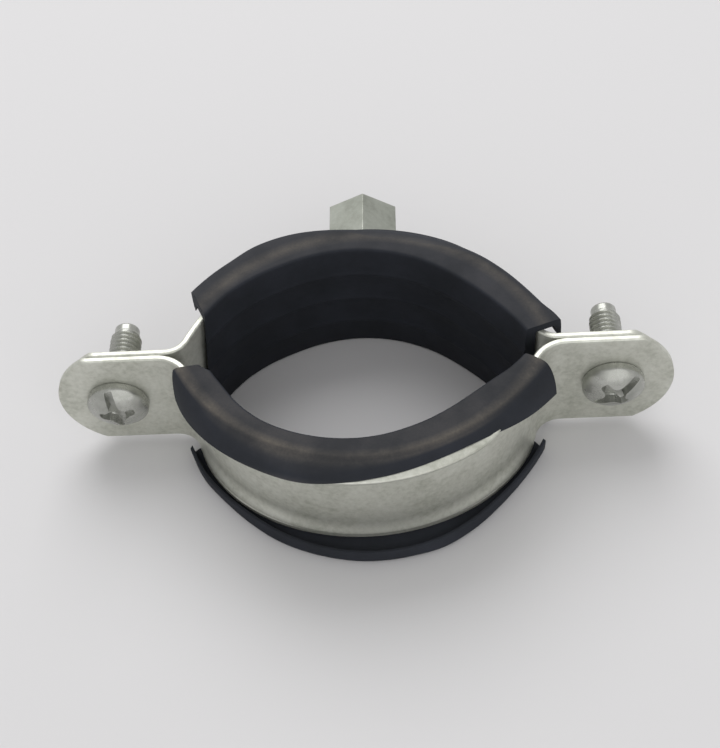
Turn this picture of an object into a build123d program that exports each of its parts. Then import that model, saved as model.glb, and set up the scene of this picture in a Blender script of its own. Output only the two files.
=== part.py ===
"""Two-part pipe clamp with a ribbed rubber lining, closed by two side screws.

The clamp lies on its side: +Z is the pipe's axis, X runs along the ears, the
front half is on -Y and the rear half, with the connection nut, on +Y.
The origin lies on the pipe's axis and on the plane where the ears meet,
level with the lower edge of the linings.
"""
import os
from math import cos, radians, sin, sqrt

from build123d import *

# ---- driving dimensions, mm ------------------------------------------------

sheet_thickness = 1.0
band_height = 20.0
lined_radius = 25.9        # tops of the lining's ribs, on the pipe
lining_wall = 2.1          # rubber between pipe and sheet
half_shift = 8.4           # each half is this much shallower than a half circle
front_bend_radius = 5.0    # hollow side of the bend between arc and ear
rear_bend_radius = 3.0

front_ear_reach = 47.4     # ear tip to the middle of the clamp
rear_ear_setback = 1.1     # how much shorter the rear ears are
ear_end_radius = 12.0
screw_setback = 9.2        # front ear tip to the screw's axis

rim_overhang = 3.2         # turned-out rim at the crown, beyond the sheet
rim_fade = 2.0             # shift of the rim's edge circle towards the crown
rim_drop = 0.8             # fall of the rim from its root to its edge
rim_span = 47.0            # degrees from the crown to the rim's ends
foot_overhang = 1.3        # splay of the lower edge, beyond the sheet
foot_height = 3.2
foot_span = 60.0           # degrees from the crown to the splay's ends

edge_cover = 1.4           # rubber over the sheet's upper and lower edges
lip_thickness = 1.1
crown_lip_height = 3.6
crown_lip_reach = 17.0     # the lips' free edges run level this far from the middle
end_lip_height = 6.9
crest_width = 1.6          # flat top of the lining beyond the sheet's inner face
crest_fall = 2.0           # from the crest to the lip's outer edge
lining_edge_chamfer = 0.5
rib_count = 3              # along the pipe's side of the lining
rib_width = 1.0
rib_height = 0.4
rib_spacing = 5.75

front_lining_left = 64.5   # degrees from the crown to the lining's ends
front_lining_right = 64.5
rear_lining_left = 53.0
rear_lining_right = 70.0

nut_across_flats = 11.0
nut_length = 14.4
nut_turn = 7.0             # degrees that the hexagon is turned about its axis
nut_thread_radius = 3.4    # tapping size of M8
nut_mouth_chamfer = 0.6
nut_corner_chamfer = 0.9

screw_radius = 2.5         # M5
screw_length = 14.0        # under the head
screw_head_radius = 4.75
screw_head_height = 3.2
screw_head_rim = 1.3       # straight side of the head
pilot_radius = 2.0
pilot_length = 1.3
slot_length = 14.0         # longer than the head, so the slot is open at both ends
slot_width = 1.25
slot_depth = 1.5
cross_span = 5.4
left_slot_turn = 100.0     # degrees from the ears' line, seen from the front
right_slot_turn = 40.0

tapped_clearance = 0.05    # round the screws in the rear ears
passing_clearance = 0.3    # round the screws in the front ears

# ---- derived sizes ---------------------------------------------------------

FRONT = -1
REAR = 1

rear_ear_reach = front_ear_reach - rear_ear_setback
screw_reach = front_ear_reach - screw_setback
band_bottom = edge_cover
band_top = band_bottom + band_height
lining_height = band_height + 2 * edge_cover
middle = lining_height / 2
inner_radius = lined_radius + lining_wall
outer_radius = inner_radius + sheet_thickness
mean_radius = inner_radius + sheet_thickness / 2
rim_reach = outer_radius + rim_overhang
rim_circle_radius = rim_reach - rim_fade
lip_circle_radius = rim_circle_radius + lip_thickness
lip_reach = rim_reach + lip_thickness
stock = 3 * front_ear_reach    # longer than the clamp, for the tools that cut it


def half_centre(side):
    """Centre of a half's arc, beyond the plane where the ears meet."""
    return (0, -side * half_shift)


def rim_centre(side):
    """Centre of the circle that trims the turned-out rim and the lips to a crescent."""
    return (0, side * (rim_fade - half_shift))


def pipe_axis(side):
    return Axis((*half_centre(side), 0), (0, 0, 1))


def section_plane(side, angle):
    """Upright plane through the half's centre: local x is radius, local y is height."""
    across = (cos(radians(angle)), sin(radians(angle)), 0)
    return Plane(origin=(*half_centre(side), 0), x_dir=across, z_dir=(across[1], -across[0], 0))


def crown_angle(side):
    return 90 * side


# ---- bands -----------------------------------------------------------------

def make_rim(side):
    """Turned-out rim along the upper edge, widest at the crown and narrower to the ears."""
    root_under = band_top - sheet_thickness
    edge_top = band_top - rim_drop
    with BuildPart() as rim:
        with BuildSketch(section_plane(side, crown_angle(side) - rim_span)):
            with BuildLine():
                Polyline(
                    (mean_radius, band_top),
                    (outer_radius, band_top),
                    (rim_reach, edge_top),
                    (rim_reach, edge_top - sheet_thickness),
                    (outer_radius, root_under),
                    (mean_radius, root_under),
                    close=True,
                )
            make_face()
        revolve(axis=pipe_axis(side), revolution_arc=2 * rim_span)
        with BuildSketch(Plane.XY):
            with Locations(rim_centre(side)):
                Circle(rim_circle_radius)
        extrude(amount=lining_height, mode=Mode.INTERSECT)
    return rim.part


def make_foot(side):
    """Splay along the lower edge, steeper than the rim and the same width all round."""
    foot_reach = outer_radius + foot_overhang
    with BuildPart() as foot:
        with BuildSketch(section_plane(side, crown_angle(side) - foot_span)):
            with BuildLine():
                Polyline(
                    (mean_radius, band_bottom + foot_height),
                    (outer_radius, band_bottom + foot_height),
                    (foot_reach, band_bottom + sheet_thickness),
                    (foot_reach, band_bottom),
                    (mean_radius, band_bottom),
                    close=True,
                )
            make_face()
        revolve(axis=pipe_axis(side), revolution_arc=2 * foot_span)
    return foot.part


def make_band(side, ear_reach, bend_radius, hole_radius):
    """One strip: an arc with two bends and two round-ended ears."""
    ear_start = sqrt(mean_radius**2 - (half_shift + sheet_thickness / 2) ** 2)
    ear_length = ear_reach - ear_start
    shoulder = ear_reach - ear_end_radius + sqrt(ear_end_radius**2 - (band_height / 2) ** 2)
    edges = [make_rim(side), make_foot(side)]
    with BuildPart() as band:
        with BuildSketch(Plane.XY.offset(band_bottom)) as plan:
            with Locations(half_centre(side)):
                Circle(outer_radius)
                Circle(inner_radius, mode=Mode.SUBTRACT)
            with Locations((0, side * stock / 2)):
                Rectangle(stock, stock, mode=Mode.INTERSECT)
            with Locations(*[(end * (ear_start + ear_length / 2), side * sheet_thickness / 2)
                             for end in (-1, 1)]):
                Rectangle(ear_length, sheet_thickness)
            meeting = plan.vertices().filter_by(lambda corner: abs(corner.Y) < sheet_thickness / 2)
            fillet(meeting.sort_by(lambda corner: abs(corner.X))[:2], bend_radius + sheet_thickness)
            hollow = plan.vertices().filter_by(
                lambda corner: abs(abs(corner.Y) - sheet_thickness) < sheet_thickness / 2
            )
            fillet(hollow.sort_by(lambda corner: abs(corner.X))[:2], bend_radius)
        extrude(amount=band_height)
        with BuildSketch(Plane.XZ):
            with BuildLine():
                top = Line((-shoulder, band_top), (shoulder, band_top))
                bottom = Line((-shoulder, band_bottom), (shoulder, band_bottom))
                ThreePointArc(top @ 1, (ear_reach, middle), bottom @ 1)
                ThreePointArc(top @ 0, (-ear_reach, middle), bottom @ 0)
            make_face()
        extrude(amount=stock, both=True, mode=Mode.INTERSECT)
        with BuildSketch(Plane.XZ):
            with Locations((-screw_reach, middle), (screw_reach, middle)):
                Circle(hole_radius)
        extrude(amount=stock, both=True, mode=Mode.SUBTRACT)
        add(edges)
    return band


front_band = make_band(FRONT, front_ear_reach, front_bend_radius, screw_radius + passing_clearance)
front_band.part.label = "front_band"
rear_band = make_band(REAR, rear_ear_reach, rear_bend_radius, screw_radius + tapped_clearance)
rear_band.part.label = "rear_band"


# ---- linings ---------------------------------------------------------------

def make_band_space(side):
    """What the lining leaves free for its strip and for the strip's rim."""
    with BuildPart() as space:
        with BuildSketch(Plane.XY.offset(band_bottom)):
            with Locations(half_centre(side)):
                Circle(outer_radius)
            with Locations(rim_centre(side)):
                Circle(rim_circle_radius)
            with Locations(half_centre(side)):
                Circle(inner_radius, mode=Mode.SUBTRACT)
        extrude(amount=band_height)
    return space.part


def make_lip_gap(side):
    """Open outer face between the two lips, which are shorter at the crown."""
    crown_low, crown_high = crown_lip_height, lining_height - crown_lip_height
    end_low, end_high = end_lip_height, lining_height - end_lip_height
    with BuildPart() as gap:
        with BuildSketch(Plane.XZ):
            with BuildLine():
                Polyline(
                    (-lip_reach, end_low),
                    (-crown_lip_reach, crown_low),
                    (crown_lip_reach, crown_low),
                    (lip_reach, end_low),
                    (lip_reach, end_high),
                    (crown_lip_reach, crown_high),
                    (-crown_lip_reach, crown_high),
                    (-lip_reach, end_high),
                    close=True,
                )
            make_face()
        extrude(amount=-side * stock)
        with BuildSketch(Plane.XY):
            with Locations(half_centre(side)):
                Circle(inner_radius)
        extrude(amount=lining_height, mode=Mode.SUBTRACT)
    return gap.part


def make_ear_space(side):
    """Room behind the bends, where the lips would run into the ears."""
    bend_start = sheet_thickness + rear_bend_radius
    with BuildPart() as space:
        with BuildSketch(Plane.XY.offset(band_bottom)):
            with Locations((0, side * bend_start / 2)):
                Rectangle(2 * lip_reach, bend_start)
            with Locations(half_centre(side)):
                Circle(inner_radius, mode=Mode.SUBTRACT)
        extrude(amount=band_height)
    return space.part


def make_lining(side, first_reach, last_reach):
    """A cut length of ribbed U-profile, pushed over the strip's edges."""
    crest_radius = inner_radius + crest_width
    face_radius = lined_radius + rib_height
    tools = [make_band_space(side), make_lip_gap(side), make_ear_space(side)]
    with BuildPart() as lining:
        with BuildSketch(section_plane(side, crown_angle(side) - first_reach)) as section:
            with BuildLine():
                Polyline(
                    (face_radius, 0),
                    (crest_radius, 0),
                    (lip_reach, crest_fall),
                    (lip_reach, lining_height - crest_fall),
                    (crest_radius, lining_height),
                    (face_radius, lining_height),
                    close=True,
                )
            make_face()
            chamfer(section.vertices().group_by(Axis.X)[0], lining_edge_chamfer)
            with Locations((face_radius, middle)):
                with GridLocations(0, rib_spacing, 1, rib_count):
                    Rectangle(2 * rib_height, rib_width)
        revolve(axis=pipe_axis(side), revolution_arc=first_reach + last_reach)
        with BuildSketch(Plane.XY):
            with Locations(half_centre(side)):
                Circle(outer_radius + lip_thickness)
            with Locations(rim_centre(side)):
                Circle(lip_circle_radius)
        extrude(amount=lining_height, mode=Mode.INTERSECT)
        add(tools, mode=Mode.SUBTRACT)
    return lining


front_lining = make_lining(FRONT, front_lining_left, front_lining_right)
front_lining.part.label = "front_lining"
rear_lining = make_lining(REAR, rear_lining_right, rear_lining_left)
rear_lining.part.label = "rear_lining"


# ---- connection nut --------------------------------------------------------

crown = outer_radius - half_shift
nut_end = crown + nut_length
nut_corner_radius = nut_across_flats / 2 / cos(radians(30))
bore_chamfer_end = nut_thread_radius + nut_mouth_chamfer

with BuildPart() as connection_nut:
    with BuildSketch(Plane(origin=(0, 0, middle), x_dir=(1, 0, 0), z_dir=(0, 1, 0))):
        RegularPolygon(nut_across_flats / 2, 6, major_radius=False, rotation=nut_turn)
        Circle(nut_thread_radius, mode=Mode.SUBTRACT)
    extrude(amount=nut_end)
    with BuildSketch(Plane.XY.offset(middle)):
        with BuildLine():
            Polyline(
                (0, crown + bore_chamfer_end),
                (nut_corner_radius, crown + bore_chamfer_end - nut_corner_radius),
                (nut_corner_radius, nut_end - nut_corner_chamfer),
                (nut_across_flats / 2, nut_end),
                (bore_chamfer_end, nut_end),
                (0, nut_end - bore_chamfer_end),
                close=True,
            )
        make_face()
    revolve(axis=Axis((0, 0, middle), (0, 1, 0)), mode=Mode.INTERSECT)
    # the foot follows the crown of the band
    with BuildSketch(Plane.XY):
        with Locations(half_centre(REAR)):
            Circle(outer_radius)
    extrude(amount=lining_height, mode=Mode.SUBTRACT)
connection_nut.part.label = "connection_nut"


# ---- screws ----------------------------------------------------------------

def make_screw(reach, slot_turn):
    """Pan head screw with a slot and cross recess, and a pilot tip."""
    head_seat = -sheet_thickness
    rim_front = head_seat - screw_head_rim
    head_front = head_seat - screw_head_height
    tip = head_seat + screw_length
    thread_end = tip - pilot_length
    recess_depth = slot_depth + screw_head_height
    seen_from_front = Plane(origin=(reach, head_front + slot_depth, middle), z_dir=(0, -1, 0),
                            x_dir=(1, 0, 0))
    with BuildPart() as screw:
        with BuildSketch(Plane.XY.offset(middle)):
            with BuildLine():
                dome = TangentArc(
                    (reach, head_front),
                    (reach + screw_head_radius, rim_front),
                    tangent=(1, 0),
                )
                Polyline(
                    dome @ 1,
                    (reach + screw_head_radius, head_seat),
                    (reach + screw_radius, head_seat),
                    (reach + screw_radius, thread_end),
                    (reach + pilot_radius, thread_end),
                    (reach + pilot_radius, tip),
                    (reach, tip),
                    dome @ 0,
                )
            make_face()
        revolve(axis=Axis((reach, 0, middle), (0, 1, 0)))
        with BuildSketch(seen_from_front):
            Rectangle(slot_length, slot_width, rotation=slot_turn)
            Rectangle(slot_width, cross_span, rotation=slot_turn)
        extrude(amount=recess_depth, mode=Mode.SUBTRACT)
    return screw


left_screw = make_screw(-screw_reach, left_slot_turn)
left_screw.part.label = "left_screw"
right_screw = make_screw(screw_reach, right_slot_turn)
right_screw.part.label = "right_screw"


# ---- export ----------------------------------------------------------------

os.makedirs("parts", exist_ok=True)
pieces = (front_band, rear_band, front_lining, rear_lining, connection_nut, left_screw, right_screw)
for piece in pieces:
    export_step(piece.part, f"parts/{piece.part.label}.step")
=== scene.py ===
from math import atan2, cos, degrees, pi, radians, sin, sqrt

import bmesh
import bpy
from mathutils import Matrix, Vector


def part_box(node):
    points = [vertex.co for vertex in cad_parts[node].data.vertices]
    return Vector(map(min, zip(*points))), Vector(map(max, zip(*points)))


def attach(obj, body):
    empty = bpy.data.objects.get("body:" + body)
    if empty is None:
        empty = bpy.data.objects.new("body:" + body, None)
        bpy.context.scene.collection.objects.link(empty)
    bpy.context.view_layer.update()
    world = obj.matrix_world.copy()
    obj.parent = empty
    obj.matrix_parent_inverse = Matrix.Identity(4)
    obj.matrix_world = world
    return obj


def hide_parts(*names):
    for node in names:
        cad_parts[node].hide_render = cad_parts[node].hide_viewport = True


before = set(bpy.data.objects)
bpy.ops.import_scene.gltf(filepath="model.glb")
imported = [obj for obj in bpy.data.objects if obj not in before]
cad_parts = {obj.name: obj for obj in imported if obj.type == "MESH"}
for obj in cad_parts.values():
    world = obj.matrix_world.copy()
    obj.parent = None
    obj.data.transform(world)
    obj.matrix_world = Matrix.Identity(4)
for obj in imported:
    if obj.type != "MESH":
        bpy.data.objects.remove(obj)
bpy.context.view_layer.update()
print("frame loaded:", ", ".join(sorted(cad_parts)))

mm = 0.001  # the pieces and the camera are written in millimetres, the floor and lamps in metres


meshing = {
    "sharpAngle": 35,            # degrees between two faces from which their edge stays crisp
    "weldGap": 0.002,            # mm, points closer than this become one after a cut
    "holeSides": 48,
}


def linearColour(hexText):
    channels = [int(hexText[i:i + 2], 16) / 255 for i in (1, 3, 5)]
    return [c / 12.92 if c <= 0.04045 else ((c + 0.055) / 1.055) ** 2.4 for c in channels] + [1.0]


def smoothStep(t):
    t = min(max(t, 0), 1)
    return t * t * (3 - 2 * t)


def along(stations, where):
    # smooth curve through a few given (place, value) pairs
    if where <= stations[0][0]:
        return stations[0][1]
    if where >= stations[-1][0]:
        return stations[-1][1]
    slopes = []
    for i in range(len(stations)):
        a, b = stations[max(i - 1, 0)], stations[min(i + 1, len(stations) - 1)]
        slopes.append((b[1] - a[1]) / (b[0] - a[0]))
    for i in range(len(stations) - 1):
        (x0, y0), (x1, y1) = stations[i], stations[i + 1]
        if x0 <= where <= x1:
            span = x1 - x0
            t = (where - x0) / span
            return (y0 * (2 * t**3 - 3 * t**2 + 1) + y1 * (3 * t**2 - 2 * t**3)
                    + slopes[i] * span * (t**3 - 2 * t**2 + t) + slopes[i + 1] * span * (t**3 - t**2))


def arcPoints(centre, radius, start, end, count):
    # start and end are in degrees
    out = []
    for i in range(count + 1):
        a = radians(start + (end - start) * i / count)
        out.append((centre[0] + radius * cos(a), centre[1] + radius * sin(a)))
    return out


def circlePoints(radius):
    return arcPoints((0, 0), radius, 0, 360, meshing["holeSides"])[:-1]


def loftLoops(name, loops):
    # loops are lists of points in mm, all of one length, joined one to the next and closed at both ends
    mesh = bmesh.new()
    rings = [[mesh.verts.new([c * mm for c in point]) for point in loop] for loop in loops]
    count = len(rings[0])
    for a, b in zip(rings, rings[1:]):
        for i in range(count):
            mesh.faces.new((a[i], a[(i + 1) % count], b[(i + 1) % count], b[i]))
    mesh.faces.new(rings[0][::-1])
    mesh.faces.new(rings[-1])
    return finishMesh(name, mesh)


def shadeFaces(mesh):
    for face in mesh.faces:
        face.smooth = True
    for edge in mesh.edges:
        edge.smooth = len(edge.link_faces) == 2 and edge.calc_face_angle(0) < radians(meshing["sharpAngle"])


def finishMesh(name, mesh):
    bmesh.ops.recalc_face_normals(mesh, faces=mesh.faces)
    shadeFaces(mesh)
    data = bpy.data.meshes.new(name)
    mesh.to_mesh(data)
    mesh.free()
    piece = bpy.data.objects.new(name, data)
    bpy.context.scene.collection.objects.link(piece)
    return piece


def subtract(piece, cutters):
    for cutter in cutters:
        cut = piece.modifiers.new("cut", "BOOLEAN")
        cut.operation = "DIFFERENCE"
        cut.solver = "EXACT"
        cut.object = cutter
    bpy.context.view_layer.update()
    result = bpy.data.meshes.new_from_object(piece.evaluated_get(bpy.context.evaluated_depsgraph_get()))
    piece.modifiers.clear()
    piece.data = result
    for cutter in cutters:
        bpy.data.objects.remove(cutter)
    mesh = bmesh.new()
    mesh.from_mesh(piece.data)
    bmesh.ops.remove_doubles(mesh, verts=mesh.verts, dist=meshing["weldGap"] * mm)
    shadeFaces(mesh)
    mesh.to_mesh(piece.data)
    mesh.free()


def paint(piece, material):
    piece.data.materials.clear()
    piece.data.materials.append(material)


def newMaterial(name):
    material = bpy.data.materials.new(name)
    material.use_nodes = True
    tree = material.node_tree
    tree.nodes.clear()
    output = tree.nodes.new("ShaderNodeOutputMaterial")
    shader = tree.nodes.new("ShaderNodeBsdfPrincipled")
    tree.links.new(shader.outputs["BSDF"], output.inputs["Surface"])
    return material, tree, shader


def addNode(tree, kind, settings=None, links=None):
    # settings: attribute or input name to value; links: input name to (node, output name)
    node = tree.nodes.new(kind)
    for key, value in (settings or {}).items():
        if isinstance(key, str) and hasattr(node, key) and key not in node.inputs:
            setattr(node, key, value)
        else:
            node.inputs[key].default_value = value
    for key, (source, output) in (links or {}).items():
        tree.links.new(source.outputs[output], node.inputs[key])
    return node


def setRamp(node, stops):
    ramp = node.color_ramp
    while len(ramp.elements) > 1:
        ramp.elements.remove(ramp.elements[-1])
    ramp.elements[0].position = stops[0][0]
    ramp.elements[0].color = linearColour(stops[0][1])
    for place, colour in stops[1:]:
        ramp.elements.new(place).color = linearColour(colour)
    return node


zinc = {
    "metallic": 0.7,             # the rest scatters like dull plating
    "cloudSize": 6.0,            # mm, drifts of duller plating
    "spangleSize": 0.9,          # mm, fine mottling
    "spangleDepth": 0.03,        # mm
    "dullerBy": 0.07,            # roughness added where the plating is dull
    "brighterBy": 0.05,          # and taken off where it is bright
}


def zincPlate(name, finish):
    # steel electro-plated with zinc: satin and cloudy, so no part of it mirrors cleanly
    material, tree, shader = newMaterial(name)
    place = addNode(tree, "ShaderNodeTexCoord")
    cloud = addNode(tree, "ShaderNodeTexNoise",
                    {"Scale": 1 / (zinc["cloudSize"] * mm), "Detail": 5.0, "Roughness": 0.55},
                    {"Vector": (place, "Object")})
    fine = addNode(tree, "ShaderNodeTexNoise",
                   {"Scale": 1 / (zinc["spangleSize"] * mm), "Detail": 6.0, "Roughness": 0.62},
                   {"Vector": (place, "Object")})
    both = addNode(tree, "ShaderNodeMix", {"data_type": "FLOAT", "Factor": finish["spangle"]},
                   {"A": (cloud, "Fac"), "B": (fine, "Fac")})
    colour = setRamp(addNode(tree, "ShaderNodeValToRGB", None, {"Fac": (both, "Result")}),
                     [(0.30, finish["dull"]), (0.50, finish["mean"]), (0.70, finish["bright"])])
    tree.links.new(colour.outputs["Color"], shader.inputs["Base Color"])
    shader.inputs["Metallic"].default_value = zinc["metallic"]
    rough = addNode(tree, "ShaderNodeMapRange",
                    {"From Min": 0.3, "From Max": 0.7, "To Min": finish["roughness"] + zinc["dullerBy"],
                     "To Max": finish["roughness"] - zinc["brighterBy"]}, {"Value": (both, "Result")})
    tree.links.new(rough.outputs["Result"], shader.inputs["Roughness"])
    rounding = addNode(tree, "ShaderNodeBevel", {"samples": 6, "Radius": finish["edgeRound"] * mm})
    bump = addNode(tree, "ShaderNodeBump", {"Strength": 0.25, "Distance": zinc["spangleDepth"] * mm},
                   {"Height": (fine, "Fac"), "Normal": (rounding, "Normal")})
    tree.links.new(bump.outputs["Normal"], shader.inputs["Normal"])
    return material


band = {
    # sheared and bent strip: pale, satin and lightly clouded, with soft edges that catch the light
    "finish": {"bright": "#D9DAD1", "mean": "#C8C9BF", "dull": "#A9AB9F",
               "roughness": 0.42, "spangle": 0.5, "edgeRound": 0.18},
    "sheet": 1.0,
    "arcRadius": 28.5,           # middle of the sheet
    "bottom": 1.4,
    "top": 21.4,
    "reach": 47.4,               # front ears; the rear ones are a little shorter
    "rearReach": 46.3,
    "endRadius": 12.0,
    "screwAt": 38.2,
    "screwLevel": 11.4,
    "bend": 5.0,
    "rearBend": 3.0,
    "holeRadius": 2.8,
    "rearHoleRadius": 2.55,
    "edgeBreak": 0.2,            # softened edges of the sheared sheet
    "arcStations": 120,
    "bendStations": 12,
    "endStations": 20,
    "tipGap": 0.004,             # the last station stops just short of the ear's end
    "footSteps": 8,
    # degrees from the crown, mm that the lower edge is splayed
    "splay": [(-72, 0.0), (-66, 0.5), (-61, 1.15), (-52, 1.6), (-42, 1.8), (-28, 1.6), (-13, 1.25), (0, 1.1),
              (12, 1.1), (24, 1.25), (36, 1.5), (50, 1.55), (58, 1.4), (62, 1.1), (66, 0.5), (72, 0.0)],
    "splayHeight": 3.6,
    "webLevels": (7, 10, 14),    # mm above the lower edge, plain stations between foot and rim
    # degrees from the crown, share of the upper rim's full width
    "rim": [(-48, 0.0), (-40, 0.3), (-32, 0.75), (-22, 1.0), (30, 1.0), (38, 0.9), (44, 0.6), (49, 0.25),
            (54, 0.0)],
    "rimDepth": 2.2,             # the rim is turned out of this much of the strip's upper edge
    # the full rim's middle line: mm outward, height
    "turnedRim": [(0.02, 19.2), (0.1, 19.65), (0.28, 20.1), (0.55, 20.45), (0.9, 20.66), (1.35, 20.7),
                  (1.9, 20.58), (2.5, 20.41), (3.3, 20.18)],
}


rubber = {
    "black": "#1E2127",
    "worn": "#282B33",
    # brownish dust colour, which also paints a sheen on what faces up and a highlight along the crest
    "dustAndSheenColour": "#6E675C",
    "roughness": 0.78,
    "specular": 0.32,
    "grainSize": 0.35,           # mm, moulded grain and dust
    "grainDepth": 0.05,          # mm
    "patchSize": 9.0,            # mm, where dust has settled or rubbed off
    "dustAndSheenFacing": (0.8, 0.99),   # upward share of a face's normal at no dust and sheen and at full: faces turned up are lighter, partly dust and partly painted sheen
    "dustAndSheenLevel": (12, 20),       # mm above the floor at no dust and sheen and at full: the lightening fades out low down, so low faces stay darker
    "sheenStreakRadius": 29.2,        # mm from the arc's centre, along the lip's crest, where a painted highlight runs in the dust colour
    "sheenStreakCore": 0.1,           # mm to either side of the crest
    "sheenStreakWidth": 1.5,
    "offSheenStreak": 0.22,           # share of the dust and sheen beyond the painted highlight
    # how much dust and painted sheen each lining carries
    "frontDustAndSheen": 0.8,
    "rearDustAndSheen": 0.45,
}


def softRubber(name, side, dustAndSheenAmount):
    # extruded EPDM rubber: matt and near black, with brownish dust and a painted sheen that lighten what
    # faces up
    material, tree, shader = newMaterial(name)
    place = addNode(tree, "ShaderNodeTexCoord")
    patch = addNode(tree, "ShaderNodeTexNoise",
                    {"Scale": 1 / (rubber["patchSize"] * mm), "Detail": 4.0, "Roughness": 0.6},
                    {"Vector": (place, "Object")})
    grain = addNode(tree, "ShaderNodeTexNoise",
                    {"Scale": 1 / (rubber["grainSize"] * mm), "Detail": 4.0, "Roughness": 0.6},
                    {"Vector": (place, "Object")})
    base = setRamp(addNode(tree, "ShaderNodeValToRGB", None, {"Fac": (patch, "Fac")}),
                   [(0.35, rubber["black"]), (0.7, rubber["worn"])])
    geometry = addNode(tree, "ShaderNodeNewGeometry")
    facing = addNode(tree, "ShaderNodeSeparateXYZ", None, {"Vector": (geometry, "Normal")})
    level = addNode(tree, "ShaderNodeSeparateXYZ", None, {"Vector": (place, "Object")})
    centreShift = (0, side * lining["halfShift"] * mm, 0)
    fromArc = addNode(tree, "ShaderNodeVectorMath", {"operation": "ADD", 1: centreShift},
                      {0: (place, "Object")})
    flat = addNode(tree, "ShaderNodeVectorMath", {"operation": "MULTIPLY", 1: (1, 1, 0)},
                   {0: (fromArc, "Vector")})
    radius = addNode(tree, "ShaderNodeVectorMath", {"operation": "LENGTH"}, {0: (flat, "Vector")})
    # distance from the lip's crest, which carries a painted highlight
    offCrest = addNode(tree, "ShaderNodeMath", {"operation": "SUBTRACT", 1: rubber["sheenStreakRadius"] * mm},
                       {0: (radius, "Value")})
    away = addNode(tree, "ShaderNodeMath", {"operation": "ABSOLUTE"}, {0: (offCrest, "Value")})
    facingFrom, facingTo = rubber["dustAndSheenFacing"]
    levelFrom, levelTo = rubber["dustAndSheenLevel"]
    # dust and painted sheen lighten what faces up, in specks and patches, only high up, and most along the
    # crest, where the lightening is a painted highlight:
    # (node, its output, from, to, share of the dust and sheen at from, share at to)
    shares = ((facing, "Z", facingFrom, facingTo, 0.0, dustAndSheenAmount),
              (grain, "Fac", 0.35, 0.7, 0.7, 1.0),
              (patch, "Fac", 0.38, 0.62, 0.35, 1.0),
              (level, "Z", levelFrom * mm, levelTo * mm, 0.0, 1.0),
              (away, "Value", rubber["sheenStreakCore"] * mm, rubber["sheenStreakWidth"] * mm,
               1.0, rubber["offSheenStreak"]))
    cover = None
    for source, output, fromMin, fromMax, low, high in shares:
        share = addNode(tree, "ShaderNodeMapRange",
                        {"From Min": fromMin, "From Max": fromMax, "To Min": low, "To Max": high},
                        {"Value": (source, output)})
        if cover is None:
            cover = (share, "Result")
        else:
            both = addNode(tree, "ShaderNodeMath", {"operation": "MULTIPLY"},
                           {0: cover, 1: (share, "Result")})
            cover = (both, "Value")
    colour = addNode(tree, "ShaderNodeMix", {"data_type": "RGBA"}, {"Factor": cover})
    # sockets 6 and 7 are the two colours, and output 2 their mix
    tree.links.new(base.outputs["Color"], colour.inputs[6])
    colour.inputs[7].default_value = linearColour(rubber["dustAndSheenColour"])
    tree.links.new(colour.outputs[2], shader.inputs["Base Color"])
    shader.inputs["Roughness"].default_value = rubber["roughness"]
    shader.inputs["Specular IOR Level"].default_value = rubber["specular"]
    bump = addNode(tree, "ShaderNodeBump", {"Strength": 0.5, "Distance": rubber["grainDepth"] * mm},
                   {"Height": (grain, "Fac")})
    tree.links.new(bump.outputs["Normal"], shader.inputs["Normal"])
    return material


# ribbed rubber linings

lining = {
    "halfShift": 8.4,            # the arcs' centres lie this far beyond the ears' plane
    "sheetRadius": 27.95,        # back of the lining, on the sheet's inner face
    "sheetOuter": 29.05,         # just outside its outer face
    "sheetGap": 0.02,            # keeps rubber and sheet from sharing a face
    "height": 22.8,
    "edgeCover": 1.4,            # rubber over the sheet's edges
    "lipThickness": 1.0,
    "edgeRound": 0.6,
    "ribCount": 3,
    "ribSpacing": 5.75,
    "ribWidth": 0.9,
    "ribHeight": 0.22,
    # a rib's outline: share of its width across, share of its height
    "ribShape": [(-0.8, 0), (-0.4, 0.6), (-0.15, 1), (0.15, 1), (0.4, 0.6), (0.8, 0)],
    # how the upper lip rolls over its crest and ends: mm short of the crest or edge, mm below or above it
    "crestRoll": [(1.1, 0.0), (0.55, 0.03), (0.2, 0.12)],
    "lipTip": [(0.02, 0.22), (0.12, 0.05), (0.34, 0.0)],
    "faceRound": 1.3,            # from the inner face to where the top turns flat
    "lipStart": (0.1, 0.32),     # mm beyond the crest, mm below it
    "lipBow": 0.35,              # bulge of a lip that lies out over the rim
    "hangKnee": (0.8, 0.3),      # the bend of one that hangs: share of its reach, share of its depth
    "hangFrom": 2.3,             # depth of the free edge at which the lip starts to hang down
    "hangSpan": 2.0,
    "lipSteps": 8,
    "cutSpan": 9.0,              # degrees over which the skew of a cut end dies away
    "rimReach": 32.2,            # the sheet's turned-out upper rim, which the upper lip covers
    "rimShift": 2.0,
    "rimDrop": 0.8,
    "rimSpan": 48.0,
    "wallThick": 0.55,           # lower lip's wall, and where the splayed sheet crowds it
    "wallThin": 0.3,
    "stations": 120,
}
squareCut = [(0, 0), (1, 0)]     # an end that isn't skewed

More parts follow.
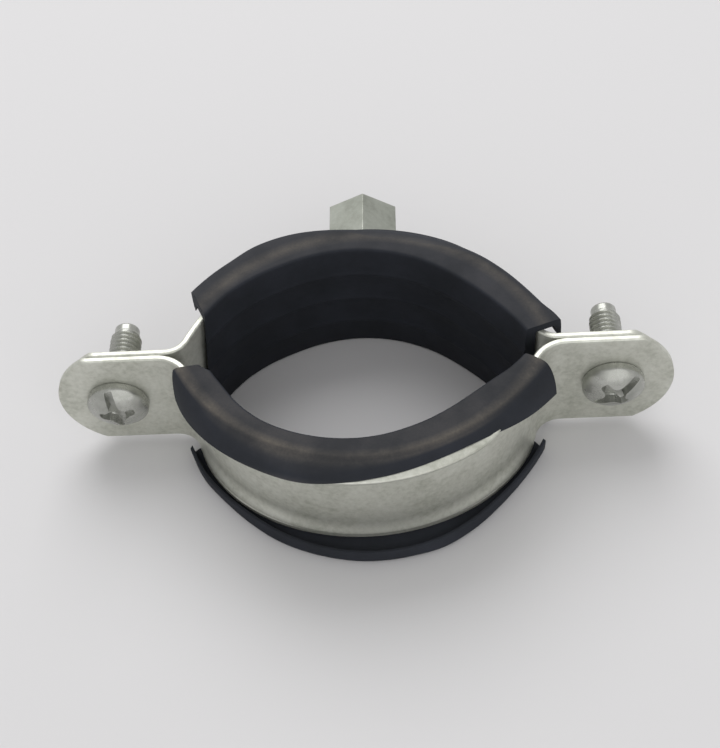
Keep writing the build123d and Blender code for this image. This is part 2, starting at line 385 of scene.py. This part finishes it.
# upper lips: degrees from the crown, radius of the crest, radius of the free edge, depth of that edge
# lower lips: degrees from the crown, radius of the wall at its foot, radius at its tip, height
frontLips = {
    "ends": (-65.5, 63.5),
    "top": [(-64.5, 30.1, 31.2, 6.9), (-52, 29.8, 31.9, 4.6), (-40, 29.5, 32.4, 3.1), (-28, 29.3, 32.6, 2.5),
            (-15, 29.2, 32.7, 2.35), (-4, 29.2, 32.0, 2.25), (6, 29.2, 31.4, 2.1), (22, 29.2, 30.8, 1.95),
            (34, 29.3, 31.0, 2.0), (44, 29.6, 31.8, 2.9), (54, 30.1, 32.2, 4.8), (63.5, 30.8, 32.7, 6.2)],
    # degrees from the crown, radius of the inner face, which stands off the sheet unevenly
    "inner": [(-64.5, 26.2), (-61, 25.4), (-57, 25.3), (-52, 25.3), (-44, 25.65), (-38, 25.85), (-31, 25.95),
              (-22, 25.85), (-12, 25.7), (-1, 25.5), (7, 25.28), (15, 24.98), (23, 24.76), (32, 24.57),
              (40, 24.6), (46, 24.85), (51, 25.3), (56, 26.0), (61, 26.6), (63.5, 26.9)],
    # how the ends are cut: (radius, degrees) and (depth, degrees) added there
    "firstCut": ([(25.3, 3.2), (26.3, 1.9), (28.4, 0.4), (30.2, -0.4), (31.2, 0.9)], squareCut),
    "lastCut": ([(26, 0), (29, 0), (31, -0.8), (32.8, -1.6)], squareCut),
    "bottom": [(-64.5, 31.0, 31.1, 2.9), (-55, 31.4, 31.4, 2.7), (-45, 31.4, 31.4, 2.6),
               (-35, 31.8, 31.5, 2.5), (-25, 32.4, 32.0, 2.45), (-12, 32.9, 32.6, 2.4), (0, 33.3, 33.0, 2.4),
               (12, 33.3, 33.0, 2.4), (20, 33.3, 32.8, 2.4), (30, 32.6, 32.2, 2.45), (40, 31.8, 31.6, 2.5),
               (50, 31.4, 31.4, 2.6), (63.5, 31.4, 31.5, 3.3)],
}
rearLips = {
    "ends": (-53.0, 70.0),
    "top": [(-53, 32.2, 31.2, 2.7), (-45, 32.2, 32.5, 2.7), (-38, 32.2, 32.8, 2.6), (-31, 32.5, 33.1, 2.6),
            (-25, 32.4, 33.0, 2.6), (-19, 32.1, 32.8, 2.5), (-14, 31.7, 32.7, 2.5), (-8, 31.1, 32.6, 2.5),
            (-2, 30.3, 32.6, 2.5), (4, 29.4, 32.6, 2.5), (20, 29.2, 32.5, 2.5), (28, 29.8, 32.4, 2.6),
            (37, 30.3, 32.2, 3.0), (45, 30.2, 32.1, 3.2), (53, 30.2, 32.0, 3.4), (61, 30.6, 32.0, 3.6),
            (67, 31.5, 32.1, 3.9), (70, 31.8, 32.15, 4.0)],
    "inner": [(-53, 27.4), (-48, 27.35), (-44, 27.2), (-37, 26.95), (-28, 26.6), (-16, 26.45), (-3, 26.3),
              (10, 25.95), (20, 25.6), (29, 25.25), (38, 24.95), (50, 25.0), (60, 25.5), (66, 25.95),
              (70, 26.3)],
    "firstCut": ([(27.0, -6.2), (29.0, -3.5), (31.0, -1.2), (32.5, 0.0)],
                 [(0, 0.0), (4.5, -1.8), (9, -3.9), (14, -4.5), (22.8, -4.5)]),
    "lastCut": (squareCut, squareCut),
    "bottom": [(-53, 31.4, 31.4, 2.8), (-30, 32.2, 31.9, 2.5), (0, 33.2, 32.9, 2.4), (30, 32.4, 32.1, 2.5),
               (50, 31.4, 31.4, 2.7), (70, 31.0, 31.1, 3.2)],
}


def station(lip, angle):
    return [along([(s[0], s[k]) for s in lip], angle) for k in (1, 2, 3)]


def curvePoint(ends, knee, t):
    return ends[0] * (1 - t) ** 2 + knee * 2 * t * (1 - t) + ends[1] * t * t


def upperLip(lip, angle, face):
    # (radius, depth) from the face's upper edge out over the crest, down the lip and back under it
    crest, edgeRadius, edgeDepth = station(lip, angle)
    corner, steps = lining["edgeRound"], lining["lipSteps"]
    out = arcPoints((face + corner, corner), corner, 180, 270, 4)
    out.append((face + lining["faceRound"], 0.0))
    out += [(crest - short, down) for short, down in lining["crestRoll"]]
    hang = smoothStep((edgeDepth - lining["hangFrom"]) / lining["hangSpan"])   # 0: lies out, 1: hangs down
    (beyond, below), (acrossShare, downShare) = lining["lipStart"], lining["hangKnee"]
    ends = (Vector((crest + beyond, below)), Vector((edgeRadius, edgeDepth)))
    knee = (ends[0] + ends[1]) / 2 + Vector((lining["lipBow"], -lining["lipBow"]))
    hangingKnee = Vector((crest + acrossShare * (edgeRadius - crest), edgeDepth * downShare))
    knee = knee.lerp(hangingKnee, hang)
    out += [tuple(curvePoint(ends, knee, i / steps)) for i in range(steps)]
    tip = ends[1]
    out += [(tip.x - short, tip.y - up) for short, up in lining["lipTip"]]
    # back along the underside, kept off the sheet and its turned-out rim
    cover = lining["edgeCover"] - lining["sheetGap"]
    shift = lining["rimShift"]
    a = radians(angle)
    rimEdge = shift * cos(a) + sqrt((lining["rimReach"] - shift) ** 2 - (shift * sin(a)) ** 2)
    onRim = abs(angle) < lining["rimSpan"]
    for i in range(steps - 2, -1, -1):
        t = i / steps
        point = curvePoint(ends, knee, t)
        tangent = (curvePoint(ends, knee, t + 0.01) - point).normalized()
        inset = point + Vector((-tangent.y, tangent.x)) * lining["lipThickness"]     # towards the sheet
        radius = min(max(inset.x, lining["sheetOuter"]), tip.x - 0.4)
        depth = min(max(inset.y, cover), tip.y - 0.02)
        if onRim and radius < rimEdge + 0.03:
            reach = (radius - lining["sheetOuter"]) / (lining["rimReach"] - lining["sheetOuter"])
            depth = min(depth, cover + lining["rimDrop"] * reach)
        out.append((radius, depth))
    return out


def lowerLip(lip, angle, face):
    # (radius, height) from beside the sheet out over the trough, round the wall and back underneath
    foot, tip, height = station(lip, angle)
    corner = lining["edgeRound"]
    trough = lining["edgeCover"] - lining["sheetGap"]
    splayed = band["arcRadius"] + band["sheet"] / 2 + along(band["splay"], angle)   # the sheet's lower edge
    inner = max(tip - lining["wallThick"], min(splayed + 0.03, tip - lining["wallThin"]))
    troughFloor = [((lining["sheetOuter"] + inner) / 2, trough - 0.4), (inner - 0.35, trough - 0.65),
                   (inner - 0.15, trough - 0.5)]
    wallInside = [(inner - 0.08, height * 0.6), (inner, height - 0.15), (inner + 0.08, height)]
    wallTip = [(tip - 0.16, height), (tip - 0.03, height - 0.1), (tip, height - 0.3)]
    wallOutside = [((tip + foot) / 2, height * 0.5), (foot, 0.8), (foot - 0.12, 0.35), (foot - 0.45, 0.06)]
    underside = [(foot - 0.9, 0.0), (30.0, 0.0), (28.5, 0.0)]
    return (troughFloor + wallInside + wallTip + wallOutside + underside
            + arcPoints((face + corner, corner), corner, 270, 180, 4))


def liningSection(lips, angle):
    half = lining["height"] / 2
    face, rib, height = along(lips["inner"], angle), lining["ribHeight"], lining["height"]
    section = []
    for row in range(lining["ribCount"]):            # low ribs, from the bottom up
        middle = half + (row - (lining["ribCount"] - 1) / 2) * lining["ribSpacing"]
        for across, rise in lining["ribShape"]:
            section.append((face - rib * rise, middle + across * lining["ribWidth"]))
    section += [(r, height - depth) for r, depth in upperLip(lips["top"], angle, face)]
    cover = lining["edgeCover"] - lining["sheetGap"]
    onSheet = lining["sheetOuter"] - lining["sheetGap"]
    section += [(onSheet, height - cover), (lining["sheetRadius"], height - cover)]
    section += [(lining["sheetRadius"], cover), (onSheet, cover)]
    return section + lowerLip(lips["bottom"], angle, face)


def cutShift(cut, fromEnd, r, z):
    # degrees by which the skew of a cut end moves a point
    if fromEnd >= lining["cutSpan"]:
        return 0
    return (along(cut[0], r) + along(cut[1], lining["height"] - z)) * (1 - fromEnd / lining["cutSpan"]) ** 2


def makeLining(name, side, lips):
    first, last = lips["ends"]
    loops = []
    for i in range(lining["stations"] + 1):
        angle = first + (last - first) * i / lining["stations"]
        loop = []
        for r, z in liningSection(lips, angle):
            a = radians(angle + cutShift(lips["firstCut"], angle - first, r, z)
                        + cutShift(lips["lastCut"], last - angle, r, z))
            loop.append((r * sin(a), -side * lining["halfShift"] + side * r * cos(a), z))
        loops.append(loop)
    return loftLoops(name, loops)


frontLining = makeLining("frontRubberLining", -1, frontLips)
paint(frontLining, softRubber("frontRubber", -1, rubber["frontDustAndSheen"]))
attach(frontLining, "front_half")
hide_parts("front_lining")
rearLining = makeLining("rearRubberLining", 1, rearLips)
paint(rearLining, softRubber("rearRubber", 1, rubber["rearDustAndSheen"]))
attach(rearLining, "rear_half")
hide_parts("rear_lining")
print("linings made")


# steel bands

def bandPath(side, reach, bend):
    # stations along the sheet: x, y, outward x, outward y, degrees from the crown, share of the full height
    centre = -side * lining["halfShift"]
    half = band["sheet"] / 2
    onArc, onBend, onEnd = band["arcStations"], band["bendStations"], band["endStations"]
    outer = band["arcRadius"] + half
    bendY = band["sheet"] + bend
    bendX = sqrt((outer + bend) ** 2 - (lining["halfShift"] + bendY) ** 2)
    turn = degrees(atan2(bendX, lining["halfShift"] + bendY))
    tall = (band["top"] - band["bottom"]) / 2
    middleOfEnd = reach - band["endRadius"]
    shoulder = middleOfEnd + sqrt(band["endRadius"] ** 2 - tall ** 2)
    right = []
    for i in range(1, onArc + 1):
        angle = turn * i / onArc
        a = radians(angle)
        right.append((band["arcRadius"] * sin(a), centre + side * band["arcRadius"] * cos(a),
                      sin(a), side * cos(a), angle, 1.0))
    for i in range(1, onBend + 1):
        a = radians(turn * (1 - i / onBend))
        r = bend + half
        right.append((bendX - r * sin(a), side * (bendY - r * cos(a)), sin(a), side * cos(a), turn + i, 1.0))
    for i in range(1, onBend + 1):
        right.append((bendX + (shoulder - bendX) * i / onBend, side * half, 0.0, side, 90.0, 1.0))
    for i in range(1, onEnd + 1):
        x = shoulder + (reach - band["tipGap"] - shoulder) * sin(pi / 2 * i / onEnd)
        share = sqrt(band["endRadius"] ** 2 - (x - middleOfEnd) ** 2) / tall
        right.append((x, side * half, 0.0, side, 90.0, share))
    left = [(-x, y, -nx, ny, -angle, share) for x, y, nx, ny, angle, share in right[::-1]]
    crown = (0.0, centre + side * band["arcRadius"], 0.0, side, 0.0, 1.0)
    return left + [crown] + right


def bandSection(angle):
    # middle line of the sheet as (outward shift, height): splayed foot, plain web, turned-out rim
    bottom, top = band["bottom"], band["top"]
    splay = along(band["splay"], angle)
    rim = along(band["rim"], angle)
    turned, depth = band["turnedRim"], band["rimDepth"]
    last = len(turned) - 1
    line = []
    for i in range(band["footSteps"] + 1):
        t = i / band["footSteps"]
        line.append((max(splay - 0.02, 0) * (1 - t) ** 2, bottom + band["splayHeight"] * t))
    line[0] = (line[0][0], bottom + 0.5 * min(splay, 1))        # a splayed edge lies a little higher
    line += [(0.0, bottom + level) for level in band["webLevels"]] + [(0.0, top - depth - 0.4)]
    plain = [(0.0, top - depth + depth * i / last) for i in range(last + 1)]
    for (o0, z0), (o1, z1) in zip(plain, turned):
        line.append((o0 + (o1 - o0) * rim, z0 + (z1 - z0) * rim))
    return line


def sheetLoop(line):
    # closed outline round a middle line, with softened ends
    half, soft = band["sheet"] / 2, band["edgeBreak"]
    inner, outer = [], []
    for i, (o, z) in enumerate(line):
        before, after = line[max(i - 1, 0)], line[min(i + 1, len(line) - 1)]
        tangent = Vector((after[0] - before[0], after[1] - before[1])).normalized()
        normal = Vector((tangent.y, -tangent.x))
        here = Vector((o, z))
        if i == 0 or i == len(line) - 1:
            back = tangent * (soft if i == 0 else -soft)
            flat = (here + normal * (half - soft), here - normal * (half - soft))
            edge = (here + back + normal * half, here + back - normal * half)
            outer += [flat[0], edge[0]] if i == 0 else [edge[0], flat[0]]
            inner += [flat[1], edge[1]] if i == 0 else [edge[1], flat[1]]
        else:
            outer.append(here + normal * half)
            inner.append(here - normal * half)
    return [tuple(p) for p in outer] + [tuple(p) for p in inner[::-1]]


bandZinc = zincPlate("zincPlatedSheet", band["finish"])


def makeBand(name, node, body, side, reach, bend, holeRadius):
    middle = (band["top"] + band["bottom"]) / 2
    loops = []
    for x, y, nx, ny, angle, share in bandPath(side, reach, bend):
        loop = []
        for o, z in sheetLoop(bandSection(angle)):
            loop.append((x + nx * o, y + ny * o, middle + (z - middle) * share))
        loops.append(loop)
    piece = loftLoops(name, loops)
    holes = []
    for end in (-1, 1):
        rings = []
        for y in (-4, 4):                            # well past the sheet on both sides
            rings.append([(end * band["screwAt"] + u, y, band["screwLevel"] + v)
                          for u, v in circlePoints(holeRadius)])
        holes.append(loftLoops("holeCutter", rings))
    subtract(piece, holes)
    paint(piece, bandZinc)
    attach(piece, body)
    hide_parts(node)


makeBand("frontBand", "front_band", "front_half", -1, band["reach"], band["bend"], band["holeRadius"])
makeBand("rearBand", "rear_band", "rear_half", 1, band["rearReach"], band["rearBend"],
         band["rearHoleRadius"])
print("bands made")


# connection nut

nut = {
    # cut hexagon bar, plated: darker and duller than the sheet, with plain flats
    "finish": {"bright": "#B2B5AD", "mean": "#A2A59C", "dull": "#8B8E85",
               "roughness": 0.46, "spangle": 0.35, "edgeRound": 0.2},
    "acrossFlats": 11.0,
    "cornerAt": 86.5,            # degrees from +X, so that one corner is almost straight up
    "root": 19.9,                # inside the band's sheet
    "end": 35.0,
    "level": 11.4,
    "edgeBreak": 0.22,
    "fitGap": 0.002,             # keeps the corners inside the solid's box
    "boreRadius": 3.4,
    "mouth": 0.6,                # chamfer of the bore
    "boreEnd": 21.8,
}


def makeNut():
    level = nut["level"]
    turn = radians(nut["cornerAt"])
    loops = []
    bore, mouth, end, edgeBreak = nut["boreRadius"], nut["mouth"], nut["end"], nut["edgeBreak"]
    for y, less in ((nut["root"], 0), (end - edgeBreak, 0), (end, edgeBreak)):
        r = nut["acrossFlats"] / 2 / cos(radians(30)) - less - nut["fitGap"]
        corners = [turn + i * pi / 3 for i in range(6)]
        loops.append([(r * cos(a), y, level + r * sin(a)) for a in corners])
    piece = loftLoops("hexagonNut", loops)
    holes = []
    for y, r in ((nut["boreEnd"], bore), (end - mouth, bore), (end, bore + mouth), (end + 1, bore + mouth)):
        holes.append([(x, y, level + z) for x, z in circlePoints(r)])
    subtract(piece, [loftLoops("boreCutter", holes)])
    paint(piece, zincPlate("zincPlatedNut", nut["finish"]))
    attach(piece, "rear_half")
    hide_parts("connection_nut")


makeNut()
print("nut made")


# side screws

screw = {
    # cold headed and plated: the smoothest and brightest of the zinc surfaces
    "finish": {"bright": "#BFC0BB", "mean": "#ABACA6", "dull": "#8F918B",
               "roughness": 0.27, "spangle": 0.35, "edgeRound": 0.1},
    "radius": 2.5,
    "pitch": 0.8,
    "threadDepth": 0.42,
    "threadStart": 0.4,          # below the head
    "runOut": 0.9,               # the thread fades away over its last stretch
    "flank": 0.42,               # share of a pitch from the middle of a ridge to its foot
    "ridgeFlat": 1.12,           # above 1, the ridge's top is flattened
    "rowsPerPitch": 10,
    "columns": 48,
    "headRadius": 4.75,
    "headHeight": 3.2,
    "headRim": 1.3,
    "domeSteps": 12,
    "length": 14.0,
    "pilotRadius": 2.0,
    "pilotLength": 1.3,
    "tipRound": 0.4,
    "seat": -1.0,                # the head sits on the front ear
    "level": 11.4,
    "leftTurn": 100,             # degrees that each recess is turned
    "rightTurn": 40,
    "armHalfWidth": 0.74,
    "slotReach": 5.2,            # past the head's rim, so the slot is open at both ends
    "crossReach": 2.9,
    "landRound": 1.2,            # rounding of the lands between the arms
    # how the recess narrows: mm below the head's top, mm narrower, mm shorter
    "recessTaper": [(-1.0, 0.0, 0.0), (0.3, 0.0, 0.0), (1.5, 0.1, 0.5), (1.65, 0.2, 0.75)],
}

screwZinc = zincPlate("brightZincScrew", screw["finish"])


def screwProfile():
    # (radius, y) of the head, from its middle to the seat: a spherical dome over a short straight side
    face = screw["seat"] - screw["headHeight"]
    rise = screw["headHeight"] - screw["headRim"]
    radius = screw["headRadius"]
    ball = (radius ** 2 + rise ** 2) / (2 * rise)
    points = []
    for i in range(screw["domeSteps"] + 1):
        r = (radius - 0.12) * i / screw["domeSteps"]
        points.append((r, face + ball - sqrt(ball ** 2 - r ** 2)))
    # the rim, with both its corners rounded
    points += [(radius - 0.03, face + rise + 0.06), (radius, face + rise + 0.2),
               (radius, screw["seat"] - 0.25), (radius - 0.06, screw["seat"] - 0.08),
               (radius - 0.22, screw["seat"]), (screw["radius"], screw["seat"])]
    return points


def threadRadius(y, aroundShare, fade):
    # the ridge climbs one pitch in a full turn, and fades into the pilot
    phase = (y / screw["pitch"] + aroundShare) % 1
    ridge = max(0, 1 - abs(phase - 0.5) / screw["flank"])
    r = screw["radius"] - screw["threadDepth"] * (1 - min(ridge * screw["ridgeFlat"], 1))
    pilot = screw["pilotRadius"]
    return pilot + (r - pilot) * fade if r > pilot else r


def screwRows():
    # rows of (radius, y), from the middle of the head to the tip
    columns, pilot = screw["columns"], screw["pilotRadius"]
    rows = [[(r, y)] * columns for r, y in screwProfile()]
    threadStart = screw["seat"] + screw["threadStart"]
    threadEnd = screw["seat"] + screw["length"] - screw["pilotLength"]
    steps = int((threadEnd - threadStart) / screw["pitch"] * screw["rowsPerPitch"])
    for i in range(steps + 1):
        y = threadStart + (threadEnd - threadStart) * i / steps
        fade = min(1, (threadEnd - y) / screw["runOut"])
        rows.append([(threadRadius(y, c / columns, fade), y) for c in range(columns)])
    tip = screw["seat"] + screw["length"]
    rows.append([(pilot, threadEnd + 0.1)] * columns)
    corner = screw["tipRound"]
    rows += [[(r, y)] * columns for r, y in arcPoints((pilot - corner, tip - corner), corner, 0, 90, 4)]
    rows.append([(0.0, tip)] * columns)
    return rows


def makeScrew(name, x, turn, node):
    # each screw's node and body share one name
    columns = screw["columns"]
    mesh = bmesh.new()
    rings = []
    for row in screwRows():
        if row[0][0] == 0:                           # the head's middle and the tip are single points
            rings.append([mesh.verts.new((x * mm, row[0][1] * mm, screw["level"] * mm))])
            continue
        ring = []
        for c, (r, y) in enumerate(row):
            a = 2 * pi * c / columns
            ring.append(mesh.verts.new(((x + r * sin(a)) * mm, y * mm, (screw["level"] + r * cos(a)) * mm)))
        rings.append(ring)
    for a, b in zip(rings, rings[1:]):
        for c in range(columns):
            d = (c + 1) % columns
            if len(a) == 1:
                mesh.faces.new((a[0], b[d], b[c]))
            elif len(b) == 1:
                mesh.faces.new((a[c], a[d], b[0]))
            else:
                mesh.faces.new((a[c], a[d], b[d], b[c]))
    piece = finishMesh(name, mesh)
    cutRecess(piece, x, turn)
    paint(piece, screwZinc)
    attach(piece, node)
    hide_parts(node)


def recessOutline():
    # a slot right across and a shorter cross arm, with the lands between them rounded
    w, land = screw["armHalfWidth"], screw["landRound"]
    slot, cross = screw["slotReach"], screw["crossReach"]
    quarter = [(slot, w)] + arcPoints((w + land, w + land), land, 270, 180, 8)
    quarter += [(w, cross - 0.35), (w - 0.18, cross - 0.06), (w - 0.4, cross)]
    back = quarter[::-1]
    otherSide = [(-u, -v) for u, v in quarter]
    return quarter + [(-u, v) for u, v in back] + otherSide + [(u, -v) for u, v in back]


def towardsMiddle(place):
    # which way is inward: 1 or -1, and less close to the middle
    return min(max(place * 4, -1), 1)


def cutRecess(piece, x, turn):
    face = screw["seat"] - screw["headHeight"]
    a = radians(turn)
    loops = []
    for down, narrower, shorter in screw["recessTaper"]:
        loop = []
        for u, v in recessOutline():
            if abs(u) < screw["slotReach"]:
                u -= narrower * towardsMiddle(u)
            onLand = abs(v) < screw["armHalfWidth"] + screw["landRound"] * 0.8
            v -= (narrower if onLand else shorter) * towardsMiddle(v)
            loop.append((x + u * cos(a) - v * sin(a), face + down,
                         screw["level"] + u * sin(a) + v * cos(a)))
        loops.append(loop)
    subtract(piece, [loftLoops("recessCutter", loops)])


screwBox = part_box("left_screw")
leftX = (screwBox[0].x + screwBox[1].x) / 2 / mm
makeScrew("leftScrew", leftX, screw["leftTurn"], "left_screw")
makeScrew("rightScrew", -leftX, screw["rightTurn"], "right_screw")
print("screws made")


# floor, light and camera

studio = {
    "floor": "#D2D1D2",
    "floorRoughness": 0.85,
    "floorReach": 2.5,           # lengths in this dictionary are in metres
    "floorLevel": -0.00002,      # just below the part, so that no faces are shared
    "aim": (0, 0, 0.01),
    "keyPlace": (-0.12, 0.62, 0.8),
    "keySize": 0.8,
    "keyStrength": 6.5,
    "fillPlace": (0.2, -0.95, 0.5),
    "fillSize": 1.3,
    "fillStrength": 4.0,
    "world": "#FFFFFF",
    "worldStrength": 0.6,
}


def makeFloor():
    # painted board: pale and matt, so that it shows soft shadows and no reflections
    mesh = bmesh.new()
    reach, level = studio["floorReach"], studio["floorLevel"]
    corners = ((-1, -1), (1, -1), (1, 1), (-1, 1))
    mesh.faces.new([mesh.verts.new((a * reach, b * reach, level)) for a, b in corners])
    floor = finishMesh("floor", mesh)
    material, tree, shader = newMaterial("paleBoard")
    shader.inputs["Base Color"].default_value = linearColour(studio["floor"])
    shader.inputs["Roughness"].default_value = studio["floorRoughness"]
    paint(floor, material)


makeFloor()


def addLamp(name, place, size, power):
    data = bpy.data.lights.new(name, "AREA")
    data.shape = "SQUARE"
    data.size = size
    data.energy = power
    lamp = bpy.data.objects.new(name, data)
    lamp.location = place
    lamp.rotation_euler = (Vector(studio["aim"]) - Vector(place)).to_track_quat("-Z", "Y").to_euler()
    bpy.context.scene.collection.objects.link(lamp)


world = bpy.data.worlds.new("paleStudio")
bpy.context.scene.world = world
world.use_nodes = True
background = world.node_tree.nodes["Background"]
background.inputs["Color"].default_value = linearColour(studio["world"])
background.inputs["Strength"].default_value = studio["worldStrength"]
addLamp("softKey", studio["keyPlace"], studio["keySize"], studio["keyStrength"])
addLamp("frontFill", studio["fillPlace"], studio["fillSize"], studio["fillStrength"])

camera = {
    "frameWidth": 720,           # pixels
    "focalPixels": 1359.7,
    "sensorWidth": 36,
    "nearClip": 10,
    "elevation": 53.34,
    "azimuth": 4.72,
    "roll": -6.14,
    "distance": 208.19,
    "target": (-0.385, 0.0, 14.337),
}


def makeCamera():
    e, a, roll = (radians(camera[k]) for k in ("elevation", "azimuth", "roll"))
    back = Vector((sin(a) * cos(e), -cos(a) * cos(e), sin(e)))
    right = Vector((cos(a), sin(a), 0))
    up = back.cross(right)
    right, up = cos(roll) * right + sin(roll) * up, -sin(roll) * right + cos(roll) * up
    data = bpy.data.cameras.new("camera")
    data.sensor_fit = "HORIZONTAL"
    data.sensor_width = camera["sensorWidth"]
    data.lens = camera["focalPixels"] / camera["frameWidth"] * camera["sensorWidth"]
    data.clip_start = camera["nearClip"] * mm
    viewer = bpy.data.objects.new("camera", data)
    place = (Vector(camera["target"]) + back * camera["distance"]) * mm
    viewer.matrix_world = Matrix.Translation(place) @ Matrix((right, up, back)).transposed().to_4x4()
    bpy.context.scene.collection.objects.link(viewer)
    bpy.context.scene.camera = viewer


makeCamera()
bpy.context.scene.view_settings.view_transform = "Standard"
print("floor, light and camera set")
